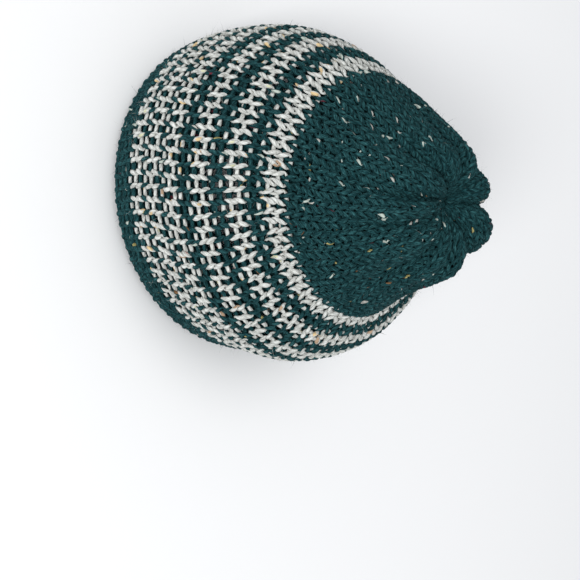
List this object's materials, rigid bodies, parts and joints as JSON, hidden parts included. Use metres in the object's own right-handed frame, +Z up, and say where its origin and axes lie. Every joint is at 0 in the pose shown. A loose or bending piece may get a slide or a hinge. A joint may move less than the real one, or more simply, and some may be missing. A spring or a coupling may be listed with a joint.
{
  "type": "knit beanie",
  "caption": "Slouchy doubled knit beanie in dark teal tweed yarn with narrow cream stripes, gathered shut at the crown.",
  "frame": {"origin": "centre of the head opening, in the plane of the brim edge that the hat stands on", "axes": "+Z up through the crown; +X is the side the soft crown leans to; +Y is the back, where the yarn ends are woven in"},
  "size_m": [0.1826, 0.1826, 0.1545],
  "materials": {
    "teal_tweed_yarn": "matte wool tweed with pale, yellow and rust flecks",
    "cream_tweed_yarn": "matte wool tweed with pale yellow and tan flecks"
  },
  "bodies": {
    "hat_body": {"brim_fold": "teal_tweed_yarn", "brim_band": "teal_tweed_yarn", "cream_stripe_1": "cream_tweed_yarn", "cream_stripe_2": "cream_tweed_yarn", "cream_stripe_3": "cream_tweed_yarn", "cream_stripe_4": "cream_tweed_yarn", "cream_stripe_5": "cream_tweed_yarn", "cream_stripe_6": "cream_tweed_yarn", "teal_band_1": "teal_tweed_yarn", "teal_band_2": "teal_tweed_yarn", "teal_band_3": "teal_tweed_yarn", "teal_band_4": "teal_tweed_yarn", "teal_band_5": "teal_tweed_yarn", "crown_lower": "teal_tweed_yarn", "crown_flex": "teal_tweed_yarn", "lining_brim": "teal_tweed_yarn", "lining_side": "teal_tweed_yarn", "lining_shoulder": "teal_tweed_yarn", "lining_flex": "teal_tweed_yarn", "cream_yarn_ends": "cream_tweed_yarn", "teal_carried_yarn": "teal_tweed_yarn"},
    "crown": {"crown_top": "teal_tweed_yarn", "gather_yarn": "teal_tweed_yarn", "crown_knot": "teal_tweed_yarn", "lining_top": "teal_tweed_yarn", "lining_gather_yarn": "teal_tweed_yarn", "lining_knot": "teal_tweed_yarn"}
  },
  "joints": [
    {"name": "crown_flop", "type": "hinge", "parent": "hat_body", "child": "crown", "pos_m": [0.009, 0, 0.118], "axis": [0, 1, 0], "range_deg": [-26, 16], "stiffness_Nm_per_rad": 0.12, "deforming": ["crown_flex", "lining_flex"]}
  ]
}
